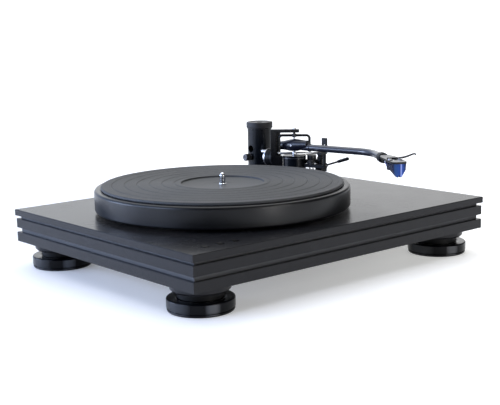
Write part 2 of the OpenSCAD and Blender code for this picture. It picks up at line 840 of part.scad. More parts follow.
// Straight, bend and straight of the arm tube; the straights run a little way into the bend
// and are a hair thinner, so that the three pieces join cleanly
module arm_path(r, start, stop) {
    lap = 1.5;
    thin = 0.02;
    in_arm() translate([0, -start, arm_z]) rotate([90, 0, 0])
        cylinder(r = r - thin, h = bend_y - tangent - start + lap);
    in_arm() translate([-bend_r, tangent - bend_y, arm_z]) rotate(-bend_angle)
        rotate_extrude(angle = bend_angle) translate([bend_r, 0]) circle(r = r);
    in_shell() translate([0, lap - tangent, arm_z]) rotate([90, 0, 0])
        cylinder(r = r - thin, h = stop - tangent + lap);
}

module arm_tube() {
    wall = 0.8;
    root = 14;                    // the tube starts this far in front of the pivot
    color([0.08, 0.09, 0.13]) difference() {
        union() {
            arm_path(tube_r, root, tube_end);
            in_arm() translate([0, -hub_len - 1.4, arm_z]) rotate([90, 0, 0])
                cylinder(r = tube_r + 0.7, h = 2);
        }
        arm_path(tube_r - wall, root - 1, tube_end + 1);
    }
}

module rear_stub() {
    drop_y = 28;
    color("dimgray") in_arm() union() {
        translate([0, 14.5, stub_z]) rotate([-90, 0, 0]) cylinder(r = stub_r, h = drop_y - 13.5);
        translate([-4, drop_y, rod_z - 4]) cube([8, 2.4, hub_z + 6 - rod_z + 4]);
        translate([0, drop_y + 2, rod_z]) rotate([-90, 0, 0]) cylinder(r = rod_r, h = 27);
    }
}

module counterweight() {
    chamfer = 1.2;
    color("black") in_arm() difference() {
        translate([0, weight_y, weight_z]) rotate([-90, 0, 0]) rotate_extrude() polygon([[0, 0],
            [weight_r - chamfer, 0], [weight_r, chamfer], [weight_r, weight_len - chamfer],
            [weight_r - chamfer, weight_len], [0, weight_len]]);
        translate([0, weight_y - 1, rod_z]) rotate([-90, 0, 0]) cylinder(r = rod_r + run, h = weight_len + 2);
    }
}

// Headshell pieces lie along -Y of their own frame; y counts from the corner of the bend
module shell_rod(y0, y1, r) { translate([0, -y0, arm_z]) rotate([90, 0, 0]) cylinder(r = r, h = y1 - y0); }

module shell_collar() {
    color("black") in_shell() difference() {
        union() {
            shell_rod(46, 60, 6.3);
            shell_rod(47.5, 58.5, 6.7);
        }
        shell_rod(45, 61, tube_r + run);
    }
}

module headshell() {
    back = 64;
    front = stylus_reach + 12.5;
    color([0.22, 0.23, 0.26]) in_shell() difference() {
        union() {
            shell_rod(tube_end + 0.3, back + 8, tube_r);
            translate([0, 0, plate_top - plate_t]) linear_extrude(plate_t) polygon([
                [-5, -back], [-9.5, -back - 12],
                [-9.5, -front + 5], [-8, -front + 1.4], [-5.5, -front], [5.5, -front], [8, -front + 1.4],
                [9.5, -front + 5], [9.5, -back - 12], [5, -back]]);
        }
        for (x = [-screw_x, screw_x]) translate([x - 1.4, -screw_y - 9, plate_top - 4]) cube([2.8, 18, 6]);
        translate([-3, -screw_y - 4, plate_top - 4]) cube([6, 22, 6]);
    }
}

module finger_lift() {
    y = -100;
    path = [[7.8, y, plate_top + 0.9], [14, y, plate_top + 1.1], [22, y - 1, plate_top + 3.6],
        [26.6, y - 2, plate_top + 5.4], [28.2, y - 2.2, plate_top + 4]];
    color("dimgray") in_shell() union() {
        for (i = [0:3]) rod(path[i], path[i + 1], 0.85, $fn = 24);
        for (p = path) translate(p) sphere(r = 0.9, $fn = 24);
    }
}

module cartridge_body() {
    back = 20.5;                  // how far the body reaches behind the stylus
    color([0.05, 0.05, 0.06]) in_shell() difference() {
        union() {
            translate([-8.6, -stylus_reach - holder_front, body_top - cap_t])
                cube([17.2, holder_front + back, cap_t]);
            translate([-7.4, -stylus_reach + holder_back + 0.2, body_top - 10.5])
                cube([14.8, back - holder_back - 0.2, 10.5]);
        }
        for (x = [-screw_x, screw_x]) translate([x, -screw_y, 0]) disc(1.3, body_top - cap_t - 1, 14);
    }
}

module cartridge_screws() {
    color("silver") in_shell() for (x = [-screw_x, screw_x]) translate([x, -screw_y, 0]) {
        disc(2.4, plate_top + 0.02, 1.7);
        disc(1.25, body_top - cap_t + 0.2, plate_t + cap_t + 0.2);
    }
}

module stylus_slab(half, y0, y1, z) {
    translate([-half, -stylus_reach - y1, z]) cube([2 * half, y1 - y0, 0.4]);
}

// Wedge that narrows to a keel under its front, with a slot for the cantilever
module stylus_holder() {
    top = body_top - cap_t - 0.45;
    tip = deck_z + 34.6;
    color([0.05, 0.15, 0.7]) in_shell() union() {
        difference() {
            hull() {
                stylus_slab(8.3, -holder_back, holder_front, top);
                stylus_slab(8.3, -holder_back, holder_front, top - 3.6);
                stylus_slab(1.3, -3.4, 2, tip + 2);
                stylus_slab(2.8, 2, holder_front + 0.3, tip + 1.2);
            }
            translate([-0.9, -stylus_reach - holder_front - 1, tip]) cube([1.8, holder_front + 3, 3.4]);
        }
        rod([0, 3 - stylus_reach, tip + 2.5], [0, -0.2 - stylus_reach, tip + 0.9], 0.3);
        translate([0, -stylus_reach, tip]) cylinder(r1 = 0.1, r2 = 0.3, h = 1.2, $fn = 24);
    }
}

top_board();
upper_spacer();
middle_board();
lower_spacer();
bottom_board();
plinth_screws();
motor_base();
bearing_housing();
bearing_bushes();
thrust_ball();
stator_core();
stator_coils();
control_board();
key_board();
terminal_plate();
rca_jacks();
ground_post();
dc_inlet();
speed_key_33();
speed_key_45();
speed_key_78();
foot_sockets();
foot_necks();
foot_ring_front_left();
foot_ring_front_right();
foot_ring_back_left();
foot_ring_back_right();
spindle();
rotor_cup();
rotor_magnet();
platter();
record_mat();
arm_base_plate();
guide_post();
height_tower();
height_dial();
lead_screw();
height_lock();
arm_carriage();
bearing_yoke();
bearing_cage();
cage_crossbar();
lift_bracket();
lift_cylinder();
rest_post();
rest_latch();
cue_lever();
lift_rail();
antiskate_dial();
pivot_block();
arm_hub();
arm_tube();
rear_stub();
counterweight();
shell_collar();
headshell();
finger_lift();
cartridge_body();
cartridge_screws();
stylus_holder();
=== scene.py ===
"""Looks of the turntable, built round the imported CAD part. Sizes here are millimetres in the part's frame;
every mesh is written in metres."""

import math

import bmesh
import bpy
from mathutils import Matrix, Vector


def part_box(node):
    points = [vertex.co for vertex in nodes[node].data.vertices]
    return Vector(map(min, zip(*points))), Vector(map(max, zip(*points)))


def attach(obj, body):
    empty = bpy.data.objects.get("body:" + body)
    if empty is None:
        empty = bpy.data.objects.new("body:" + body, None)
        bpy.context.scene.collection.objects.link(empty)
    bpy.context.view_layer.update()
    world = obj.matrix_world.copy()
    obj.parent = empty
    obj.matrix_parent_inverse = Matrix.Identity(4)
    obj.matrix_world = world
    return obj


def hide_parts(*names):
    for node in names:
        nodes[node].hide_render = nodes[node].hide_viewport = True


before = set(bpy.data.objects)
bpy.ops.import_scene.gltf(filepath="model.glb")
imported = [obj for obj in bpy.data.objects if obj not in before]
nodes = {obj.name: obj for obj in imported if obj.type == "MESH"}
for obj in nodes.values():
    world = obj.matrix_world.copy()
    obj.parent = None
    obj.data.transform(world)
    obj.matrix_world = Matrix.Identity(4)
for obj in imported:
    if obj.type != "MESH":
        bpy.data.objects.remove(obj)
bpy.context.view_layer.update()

MM = 0.001
PI = math.pi

# ------------------------------------------------------------------ places, as in the CAD source
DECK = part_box("top_board")[1].z / MM
FOOT_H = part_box("bottom_board")[0].z / MM
PLATTER = (-46.3, -1.6)
PIVOT = (151.6, 82.0)
TOWER = (155.6, 160.0)
REST = math.radians(10)
BEND = math.radians(-42.5)
YOKE = math.radians(-46)
ARM_Z = DECK + 50.1
HUB_Z = ARM_Z + 2
PLATE_TOP = ARM_Z + 4.8
STYLUS = 119.7
FEET = [(sx * 190.8, sy * 140.0, f"foot_{name}") for sx, sy, name in (
    (-1, -1, "front_left"), (1, -1, "front_right"), (-1, 1, "back_left"), (1, 1, "back_right"))]


def shift(x, y, z=0.0):
    return Matrix.Translation((x, y, z))


def turn(angle, axis="Z"):
    return Matrix.Rotation(angle, 4, axis)


AT_PLATTER = shift(*PLATTER)
AT_TOWER = shift(*TOWER)
AT_PIVOT = shift(*PIVOT)
IN_ARM = AT_PIVOT @ turn(REST)
IN_SHELL = IN_ARM @ shift(0, -127.7) @ turn(BEND)
IN_CAGE = AT_PIVOT @ turn(YOKE)
ALONG_Y = turn(-PI / 2, "X")
ALONG_X = turn(PI / 2, "Y")


# ------------------------------------------------------------------ shader helpers
def link(tree, a, out, b, inp):
    tree.links.new(a.outputs[out], b.inputs[inp])


def shader_node(tree, kind, source=None, out=None, inp=0, operation=None):
    """New shader node, fed from `source` when one is given."""
    made = tree.nodes.new("ShaderNode" + kind)
    if operation:
        made.operation = operation
    if source:
        link(tree, source, out, made, inp)
    return made


def noise(tree, source, out, scale, detail):
    made = shader_node(tree, "TexNoise", source, out, "Vector")
    made.inputs["Scale"].default_value = scale
    made.inputs["Detail"].default_value = detail
    return made


def bumps(tree, source, height_mm, under=None):
    """Bump from a noise, laid over another bump when one is given."""
    made = shader_node(tree, "Bump", source, "Fac", "Height")
    made.inputs["Distance"].default_value = height_mm * MM
    if under:
        link(tree, under, "Normal", made, "Normal")
    return made


def remap(tree, source, out, lo, hi, to_lo=0.0, to_hi=1.0):
    made = shader_node(tree, "MapRange", source, out, "Value")
    for key, value in (("From Min", lo), ("From Max", hi), ("To Min", to_lo), ("To Max", to_hi)):
        made.inputs[key].default_value = value
    return made


def colour_ramp(tree, source, out, stops):
    made = shader_node(tree, "ValToRGB", source, out, "Fac")
    elements = made.color_ramp.elements
    while len(elements) < len(stops):
        elements.new(0.5)
    for e, (at, color) in zip(elements, stops):
        e.position, e.color = at, (*color, 1)
    return made


def amount_along(tree, source, out, direction):
    """How far a vector reaches along `direction`."""
    made = shader_node(tree, "VectorMath", source, out, operation="DOT_PRODUCT")
    made.inputs[1].default_value = direction
    return made


def larger(tree, a, b):
    made = shader_node(tree, "Math", a, "Result", 0, "MAXIMUM")
    link(tree, b, "Result", made, 1)
    return made


FINE_SHARE, WIDE_SHARE = 0.6, 0.4
NOISE_LOW, NOISE_HIGH = 0.3, 0.7
WIDE_SCALE, LATHE_SCALE = 35, 2600


def surface(name, color, rough, metal=0.0, grain=2500.0, spread=0.15, rough_spread=0.08, bump=0.0,
            coat=0.0, coat_rough=0.08, specular=0.5, turned=None, turned_bump=0.0, stretch=(1, 1, 1)):
    """Procedural finish: two scales of noise in the colour and roughness, a fine bump, and for turned
    parts fine lathe marks round the axis through `turned`."""
    m = bpy.data.materials.new(name)
    m.use_nodes = True
    m.diffuse_color = (*color, 1)
    t = m.node_tree
    bsdf = t.nodes["Principled BSDF"]
    for key, value in (("Metallic", metal), ("Specular IOR Level", specular), ("Coat Weight", coat),
                       ("Coat Roughness", coat_rough)):
        bsdf.inputs[key].default_value = value
    place = shader_node(t, "TexCoord")
    mapping = shader_node(t, "Mapping", place, "Object", "Vector")
    mapping.inputs["Scale"].default_value = stretch
    fine = noise(t, mapping, "Vector", grain, 3)
    wide = noise(t, place, "Object", WIDE_SCALE, 4)
    part = shader_node(t, "Math", wide, "Fac", 0, "MULTIPLY")
    part.inputs[1].default_value = WIDE_SHARE
    both = shader_node(t, "Math", fine, "Fac", 0, "MULTIPLY_ADD")
    both.inputs[1].default_value = FINE_SHARE
    link(t, part, "Value", both, 2)
    tones = colour_ramp(t, both, "Value", [(NOISE_LOW, [c * (1 - spread) for c in color]),
                                           (NOISE_HIGH, [min(1, c * (1 + spread)) for c in color])])
    link(t, tones, "Color", bsdf, "Base Color")
    gloss = remap(t, both, "Value", NOISE_LOW, NOISE_HIGH, max(0.02, rough - rough_spread),
                  min(1, rough + rough_spread))
    link(t, gloss, "Result", bsdf, "Roughness")
    normal = bumps(t, fine, bump) if bump else None
    if turned is not None:
        centre = shader_node(t, "VectorMath", place, "Object", 0, "SUBTRACT")
        centre.inputs[1].default_value = (turned[0] * MM, turned[1] * MM, 0)
        split = shader_node(t, "SeparateXYZ", centre, "Vector")
        flat = shader_node(t, "CombineXYZ", split, "X", "X")
        link(t, split, "Y", flat, "Y")
        radius = shader_node(t, "VectorMath", flat, "Vector", 0, "LENGTH")
        radius_height = shader_node(t, "CombineXYZ", radius, "Value", "X")
        link(t, split, "Z", radius_height, "Y")
        normal = bumps(t, noise(t, radius_height, "Vector", LATHE_SCALE, 2), turned_bump, normal)
    if normal:
        link(t, normal, "Normal", bsdf, "Normal")
    return m


# ------------------------------------------------------------------ materials
lacquer = surface("lacquer", (0.0125, 0.0125, 0.0140), 0.26, specular=0.16,
                  bump=0.012, grain=4200, spread=0.14, rough_spread=0.03)
slot_paint = surface("slot_paint", (0.022, 0.023, 0.026), 0.6, bump=0.01)
foot_gloss = surface("foot_gloss", (0.0010, 0.0012, 0.0020), 0.20,
                     bump=0.0004, grain=900, specular=0.13, rough_spread=0.02)
foot_neck = surface("foot_neck", (0.003, 0.003, 0.003), 0.45, specular=0.12, bump=0.01)
platter_paint = surface("platter_paint", (0.0035, 0.0037, 0.0045), 0.31, specular=0.26, bump=0.004,
                        grain=3800, rough_spread=0.03, turned=PLATTER, turned_bump=0.0025)
mat_rubber = surface("mat_rubber", (0.026, 0.0275, 0.0295), 0.60, specular=0.38, bump=0.014,
                     grain=3000, rough_spread=0.05, turned=PLATTER, turned_bump=0.004)
chrome = surface("chrome", (0.82, 0.83, 0.85), 0.10, metal=1.0, spread=0.03, rough_spread=0.03, bump=0.0006)
steel = surface("steel", (0.42, 0.42, 0.44), 0.28, metal=1.0, spread=0.12, bump=0.001, stretch=(1, 1, 14))
brass = surface("brass", (0.80, 0.58, 0.24), 0.22, metal=1.0, spread=0.06, bump=0.001)
copper = surface("copper", (0.72, 0.30, 0.12), 0.32, metal=1.0,
                 spread=0.2, grain=1800, stretch=(1, 1, 8), bump=0.01)
magnet = surface("magnet", (0.05, 0.05, 0.055), 0.6, bump=0.01)
circuit = surface("circuit", (0.012, 0.085, 0.035), 0.35, spread=0.25, coat=0.3, bump=0.004)
arm_gloss = surface("arm_gloss", (0.015, 0.0155, 0.023), 0.30, coat=0.35,
                    coat_rough=0.16, bump=0.0008, grain=700, rough_spread=0.04)
arm_satin = surface("arm_satin", (0.003, 0.003, 0.004), 0.28, bump=0.002, rough_spread=0.05)
tower_gloss = surface("tower_gloss", (0.003, 0.004, 0.006), 0.24, specular=0.17,
                      bump=0.0015, rough_spread=0.04, turned=TOWER, turned_bump=0.0012)
dial_turned = surface("dial_turned", (0.022, 0.0215, 0.023), 0.42, metal=0.3,
                      specular=0.25, bump=0.002, turned=TOWER, turned_bump=0.004)
knob_black = surface("knob_black", (0.02, 0.02, 0.022), 0.34, metal=0.4, bump=0.002)
weight_black = surface("weight_black", (0.004, 0.004, 0.005), 0.42, bump=0.0015, specular=0.14)
hub_black = surface("hub_black", (0.006, 0.007, 0.013), 0.30, coat=0.15,
                    coat_rough=0.16, specular=0.3, bump=0.0008)
nickel = surface("nickel", (0.66, 0.66, 0.67), 0.30, metal=1.0, spread=0.04, rough_spread=0.04, bump=0.0008)
hook_black = surface("hook_black", (0.012, 0.012, 0.013), 0.5, bump=0.001, specular=0.3)
shell_metal = surface("shell_metal", (0.105, 0.108, 0.115), 0.34, metal=0.75, bump=0.0012, spread=0.08)
knob_metal = surface("knob_metal", (0.075, 0.075, 0.08), 0.32, metal=0.8, bump=0.001)
plastic = surface("plastic", (0.007, 0.007, 0.008), 0.38, bump=0.006, grain=5200, specular=0.22)
blue = surface("blue", (0.004, 0.044, 0.30), 0.2, coat=0.1, coat_rough=0.05,
               spread=0.2, bump=0.0004, grain=300, specular=0.18)
key_black = surface("key_black", (0.001, 0.001, 0.0012), 0.18, specular=0.10, bump=0.001)
red_ring = surface("red_ring", (0.45, 0.01, 0.01), 0.35, bump=0.002)
white_ring = surface("white_ring", (0.75, 0.75, 0.73), 0.35, bump=0.002)
green_wire = surface("green_wire", (0.02, 0.25, 0.06), 0.4, bump=0.002)
blue_wire = surface("blue_wire", (0.02, 0.06, 0.45), 0.4, bump=0.002)

# The stylus holder's bands of blue across the piece are painted light: painted shade towards both sides,
# darkest on the left, and a pale painted highlight streak right of the middle.
ACROSS = Vector((0.761, -0.648, 0))
holder = [v.co.dot(ACROSS) for v in nodes["stylus_holder"].data.vertices]
tree = blue.node_tree
over = amount_along(tree, shader_node(tree, "TexCoord"), "Object", ACROSS)
painted_shade_and_highlight = colour_ramp(tree, remap(tree, over, "Value", min(holder), max(holder)), "Result", [
    (0.0, (0.0006, 0.004, 0.020)), (0.22, (0.001, 0.010, 0.050)), (0.30, (0.005, 0.050, 0.19)),
    (0.55, (0.006, 0.052, 0.26)), (0.645, (0.004, 0.030, 0.22)), (0.69, (0.34, 0.42, 0.80)),
    (0.775, (0.012, 0.06, 0.32)), (1.0, (0.001, 0.010, 0.05))])
link(tree, painted_shade_and_highlight, "Color", tree.nodes["Principled BSDF"], "Base Color")

# The foot rings: lathe-turned gloss, with upright highlights painted into the base colour where they face
# the front and the left.
tree = foot_gloss.node_tree
ring_bsdf = tree.nodes["Principled BSDF"]
ring_bsdf.inputs["Anisotropic"].default_value = 0.92
ring_bsdf.inputs["Anisotropic Rotation"].default_value = 0.25
round_axis = shader_node(tree, "Tangent")
round_axis.direction_type, round_axis.axis = "RADIAL", "Z"
link(tree, round_axis, "Tangent", ring_bsdf, "Tangent")
ring_facing = shader_node(tree, "NewGeometry")
front_painted_sheen = remap(tree, amount_along(tree, ring_facing, "Normal", (-0.30, -0.954, 0)),
                    "Value", 0.970, 0.997)
left_painted_sheen = remap(tree, amount_along(tree, ring_facing, "Normal", (-0.992, -0.122, 0)),
                   "Value", 0.88, 0.99, to_hi=0.42)
ring_painted_sheens = colour_ramp(tree, larger(tree, front_painted_sheen, left_painted_sheen), "Value", [
    (0.0, (0.0010, 0.0012, 0.0020)), (1.0, (0.075, 0.078, 0.084))])
link(tree, ring_painted_sheens, "Color", ring_bsdf, "Base Color")

# The headshell's plate: painted shade makes its edges darker than its top, by which way each face points.
tree = shell_metal.node_tree
facing_up = shader_node(tree, "SeparateXYZ", shader_node(tree, "NewGeometry"), "True Normal")
shade = shader_node(tree, "VectorMath", tree.nodes["Color Ramp"], "Color", 0, "SCALE")
link(tree, remap(tree, facing_up, "Z", 0.3, 0.9, to_lo=0.12), "Result", shade, "Scale")
link(tree, shade, "Vector", tree.nodes["Principled BSDF"], "Base Color")

NODE_FINISH = {
    lacquer: "top_board middle_board bottom_board foot_sockets",
    slot_paint: "upper_spacer lower_spacer",
    foot_gloss: "foot_ring_front_left foot_ring_front_right foot_ring_back_left foot_ring_back_right",
    foot_neck: "foot_necks",
    platter_paint: "platter",
    mat_rubber: "record_mat",
    chrome: "spindle",
    nickel: "cage_crossbar lift_rail",
    steel: "plinth_screws motor_base thrust_ball stator_core rotor_cup guide_post lead_screw pivot_block "
           "rear_stub finger_lift cartridge_screws",
    brass: "bearing_housing bearing_bushes rca_jacks ground_post",
    copper: "stator_coils",
    magnet: "rotor_magnet",
    circuit: "control_board key_board",
    plastic: "terminal_plate dc_inlet lift_cylinder rest_post rest_latch",
    knob_black: "height_lock antiskate_dial speed_key_33 speed_key_45 speed_key_78",
    arm_satin: "bearing_yoke bearing_cage lift_bracket",
    tower_gloss: "arm_base_plate height_tower arm_carriage",
    dial_turned: "height_dial",
    arm_gloss: "arm_hub arm_tube shell_collar",
    weight_black: "counterweight cue_lever",
    shell_metal: "headshell",
    blue: "stylus_holder cartridge_body",
}
for finish, names in NODE_FINISH.items():
    for n in names.split():
        mesh = nodes[n].data
        mesh.materials.clear()
        mesh.materials.append(finish)
        mesh.polygons.foreach_set("use_smooth", [True] * len(mesh.polygons))
        mesh.set_sharp_from_angle(angle=math.radians(32))


EDGE_ANGLE = math.radians(50)


def soften(node, width):
    """Small bevels on a CAD node's hard edges, as a modifier, so its mesh stays as packed."""
    m = nodes[node].modifiers.new("edge", "BEVEL")
    m.width, m.segments, m.limit_method, m.angle_limit = width * MM, 2, "ANGLE", EDGE_ANGLE
    m.harden_normals = True


for part, width in (("headshell", 0.45), ("cartridge_body", 0.35), ("rest_latch", 0.35),
                    ("rest_post", 0.25), ("lift_cylinder", 0.35), ("lift_bracket", 0.3),
                    ("arm_carriage", 0.35), ("arm_base_plate", 0.6), ("stylus_holder", 0.3)):
    soften(part, width)


# ------------------------------------------------------------------ mesh helpers
def add(name, verts, faces, finish, body, at=Matrix.Identity(4), stands_for=(), slot=None, bevel=0.0,
        segments=2, smooth=32):
    """One mesh piece from millimetre vertices in the frame `at`, riding on a body."""
    mesh = bpy.data.meshes.new(name)
    mesh.from_pydata([tuple((at @ Vector(v)) * MM) for v in verts], [], faces)
    bm = bmesh.new()
    bm.from_mesh(mesh)
    bmesh.ops.remove_doubles(bm, verts=bm.verts, dist=1e-7)
    bmesh.ops.recalc_face_normals(bm, faces=bm.faces)
    if bevel:
        sharp = [e for e in bm.edges if len(e.link_faces) == 2 and e.calc_face_angle(0) > math.radians(28)]
        bmesh.ops.bevel(bm, geom=sharp, offset=bevel * MM, segments=segments, profile=0.6, affect="EDGES",
                        clamp_overlap=True)
    bm.to_mesh(mesh)
    bm.free()
    mesh.polygons.foreach_set("use_smooth", [True] * len(mesh.polygons))
    mesh.set_sharp_from_angle(angle=math.radians(smooth))
    mesh.materials.append(finish)
    o = bpy.data.objects.new(name, mesh)
    bpy.context.scene.collection.objects.link(o)
    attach(o, body)
    if stands_for:
        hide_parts(*stands_for)
    return o


def lathe_data(profile, n=96, ripple=None):
    """Rings of an (r, z) profile about Z. ripple(r, z, angle) may change the radius."""
    verts, faces, rings = [], [], []
    for r, z in profile:
        if r < 1e-6:
            rings.append([len(verts)])
            verts.append((0, 0, z))
            continue
        rings.append(list(range(len(verts), len(verts) + n)))
        for k in range(n):
            a = 2 * PI * k / n
            q = ripple(r, z, a) if ripple else r
            verts.append((q * math.cos(a), q * math.sin(a), z))
    for a, b in zip(rings, rings[1:]):
        if len(a) == 1 and len(b) == 1:
            continue
        for k in range(n):
            j = (k + 1) % n
            if len(a) == 1:
                faces.append((a[0], b[j], b[k]))
            elif len(b) == 1:
                faces.append((a[k], a[j], b[0]))
            else:
                faces.append((a[k], a[j], b[j], b[k]))
    return verts, faces


def lathe(name, profile, finish, body, at=Matrix.Identity(4), n=96, ripple=None, **kw):
    verts, faces = lathe_data(profile, n, ripple)
    return add(name, verts, faces, finish, body, at, **kw)


def rounded(points, radius=0.4, steps=3, closed=False):
    """Profile with each corner rounded; a third number at a point is that corner's own radius."""
    out = []
    count = len(points)
    for i, p in enumerate(points):
        here = Vector(p[:2])
        c = p[2] if len(p) > 2 else radius
        if c <= 0 or (not closed and i in (0, count - 1)):
            out.append(tuple(here))
            continue
        a = Vector(points[i - 1][:2]) - here
        b = Vector(points[(i + 1) % count][:2]) - here
        if a.length < 1e-6 or b.length < 1e-6 or a.angle(b) > PI - 0.05:
            out.append(tuple(here))
            continue
        cut = min(c, a.length * 0.49, b.length * 0.49)
        p0, p1 = here + a.normalized() * cut, here + b.normalized() * cut
        for s in range(steps + 1):
            u = s / steps
            out.append(tuple(p0 * (1 - u) ** 2 + here * 2 * u * (1 - u) + p1 * u ** 2))
    return out


def tube_data(path, radius, n=20):
    """Round bar along a path of points; radius is a number or one per point."""
    pts = [Vector(p) for p in path]
    radii = radius if hasattr(radius, "__len__") else [radius] * len(pts)
    verts, faces = [], []
    side = None
    for i, p in enumerate(pts):
        d = (pts[min(i + 1, len(pts) - 1)] - pts[max(i - 1, 0)]).normalized()
        if side is None:
            side = d.orthogonal().normalized()
        side = (side - d * side.dot(d)).normalized()
        up = d.cross(side)
        for k in range(n):
            a = 2 * PI * k / n
            verts.append(p + (side * math.cos(a) + up * math.sin(a)) * radii[i])
    for i in range(len(pts) - 1):
        for k in range(n):
            j = (k + 1) % n
            faces.append((i * n + k, i * n + j, (i + 1) * n + j, (i + 1) * n + k))
    faces.append(tuple(range(n))[::-1])
    faces.append(tuple((len(pts) - 1) * n + k for k in range(n)))
    return verts, faces


def rod(name, path, radius, finish, body, at=Matrix.Identity(4), n=20, **kw):
    verts, faces = tube_data(path, radius, n)
    return add(name, verts, faces, finish, body, at, smooth=kw.pop("smooth", 50), **kw)


def smooth_path(points, steps=8):
    """Catmull-Rom curve through the points."""
    pts = [Vector(p) for p in points]
    pts = [pts[0] * 2 - pts[1]] + pts + [pts[-1] * 2 - pts[-2]]
    out = []
    for i in range(1, len(pts) - 2):
        a, b, c, d = pts[i - 1:i + 3]
        for s in range(steps):
            u = s / steps
            out.append(0.5 * (2 * b + (c - a) * u + (2 * a - 5 * b + 4 * c - d) * u * u
                              + (3 * b - a - 3 * c + d) * u ** 3))
    out.append(pts[-2])
    return out


def slab(name, outline, z0, z1, finish, body, at=Matrix.Identity(4), bevel=0.3, **kw):
    """Flat plate from a 2-D outline, its edges bevelled."""
    n = len(outline)
    verts = [(x, y, z0) for x, y in outline] + [(x, y, z1) for x, y in outline]
    faces = [tuple(range(n))[::-1], tuple(range(n, 2 * n))]
    faces += [(k, (k + 1) % n, n + (k + 1) % n, n + k) for k in range(n)]
    return add(name, verts, faces, finish, body, at, bevel=bevel, **kw)


def merged(parts):
    """Several (verts, faces, matrix) as one (verts, faces)."""
    verts, faces = [], []
    for v, f, m in parts:
        base = len(verts)
        verts += [m @ Vector(p) for p in v]
        faces += [tuple(base + i for i in g) for g in f]
    return verts, faces


def knurl(depth, count, z0, z1, blunt=0.6):
    """Vertical knurling between two heights, for lathe's ripple."""
    def ripple(r, z, a):
        if z < z0 - 1e-6 or z > z1 + 1e-6:
            return r
        return r - depth * (0.5 - 0.5 * math.cos(a * count)) ** blunt
    return ripple


def socket_head(r, h, hex_r, depth, n=48):
    """Cap screw head with a hexagon socket, standing on z = 0."""
    profile = rounded([(0.0, 0.0), (r, 0.0), (r, h, 0.35), (hex_r * 1.25, h, 0.15), (hex_r, h - 0.15, 0.0)],
                      0.15)
    verts, faces = lathe_data(profile, n)
    base = len(verts)
    for z in (h - 0.15, h - depth):
        for k in range(n):
            a = 2 * PI * k / n
            q = hex_r * math.cos(PI / 6) / math.cos((a % (PI / 3)) - PI / 6)
            verts.append((q * math.cos(a), q * math.sin(a), z))
    verts.append((0, 0, h - depth))
    last = base - n
    for k in range(n):
        j = (k + 1) % n
        faces.append((last + k, last + j, base + j, base + k))
        faces.append((base + k, base + j, base + n + j, base + n + k))
        faces.append((base + n + k, base + n + j, base + 2 * n))
    return verts, faces


# ------------------------------------------------------------------ platter and mat
PLATTER_R, PLATTER_Z, PLATTER_T = 155.0, DECK + 4, 25.0
PLATTER_TOP = PLATTER_Z + PLATTER_T
HUB_BORE = 9.0
platter_profile = [
    (HUB_BORE, PLATTER_Z + 24), (HUB_BORE, PLATTER_Z, 0.5), (22, PLATTER_Z, 1.0),
    (22, PLATTER_Z + 12, 1.5), (PLATTER_R - 22, PLATTER_Z + 15, 2.0), (PLATTER_R - 14, PLATTER_Z + 3, 1.0),
    (PLATTER_R - 14, PLATTER_Z, 0.6), (PLATTER_R - 1.2, PLATTER_Z, 0.4), (PLATTER_R, PLATTER_Z + 1.2, 0.8),
    (PLATTER_R, PLATTER_TOP - 2.0, 1.6), (PLATTER_R - 1.7, PLATTER_TOP, 1.2),
    (PLATTER_R - 7.4, PLATTER_TOP, 0.3), (PLATTER_R - 7.6, PLATTER_TOP - 0.2, 0),
    (HUB_BORE, PLATTER_TOP - 0.2)]
lathe("platter_disc", rounded(platter_profile, 0.5, 4), platter_paint, "platter", AT_PLATTER, n=288,
      stands_for=["platter"], slot="platter_black", smooth=25)

MAT_R, MAT_BORE = 147.0, 4.8
MAT_TOP = PLATTER_TOP + 3.6
LABEL_R, LABEL_DEPTH = 50.0, 2.0
FIRST_GROOVE, LAST_GROOVE, GROOVE_PITCH = 141.0, 54, 2.5
BAND_START, BAND_PITCH = 58, 15
mat_profile = [(MAT_BORE, PLATTER_TOP), (MAT_R - 0.6, PLATTER_TOP, 0.3), (MAT_R, PLATTER_TOP + 0.6, 0.4),
               (MAT_R, MAT_TOP - 1.0, 0.7), (MAT_R - 1.0, MAT_TOP, 0.8)]
r = FIRST_GROOVE
while r > LAST_GROOVE:
    off_band = (r - BAND_START) % BAND_PITCH
    on_band = off_band < 1.5 or BAND_PITCH - off_band < 1.5
    depth, half = (0.5, 0.7) if on_band else (0.16, 0.45)
    mat_profile += [(r + half, MAT_TOP, 0.12), (r + half * 0.5, MAT_TOP - depth, 0.12),
                    (r - half * 0.5, MAT_TOP - depth, 0.12), (r - half, MAT_TOP, 0.12)]
    r -= GROOVE_PITCH
mat_profile += [(LABEL_R + 0.6, MAT_TOP, 0.3), (LABEL_R, MAT_TOP - LABEL_DEPTH, 0.3),
                (12.0, MAT_TOP - LABEL_DEPTH, 0.3), (11.6, MAT_TOP - 2.15, 0.1),
                (MAT_BORE, MAT_TOP - 2.15, 0.2), (MAT_BORE, PLATTER_TOP)]
lathe("mat_disc", rounded(mat_profile, 0.1, 2), mat_rubber, "platter", AT_PLATTER, n=288,
      stands_for=["record_mat"], slot="mat_rubber", smooth=28)

PIN_R, BOSS_R = 3.6, 4.5
PIN_FOOT = MAT_TOP - 2
TIP = MAT_TOP + 11.1
pin_profile = [
    (0, 42.7), (5, 42.7), (5, 72.1, 0.2), (7, 72.1, 0.3), (7, 90, 0.3),
    (BOSS_R, 90, 0.2), (BOSS_R, PIN_FOOT, 0.3), (PIN_R, PIN_FOOT, 0.2),
    (PIN_R, TIP - 3.4, 0.5), (2.5, TIP - 1.3, 0.5), (1.1, TIP - 0.15, 0.5), (0, TIP)]
lathe("spindle_pin", rounded(pin_profile, 0.2, 4), chrome, "platter",
      AT_PLATTER, n=64, stands_for=["spindle"], slot="chrome", smooth=40)

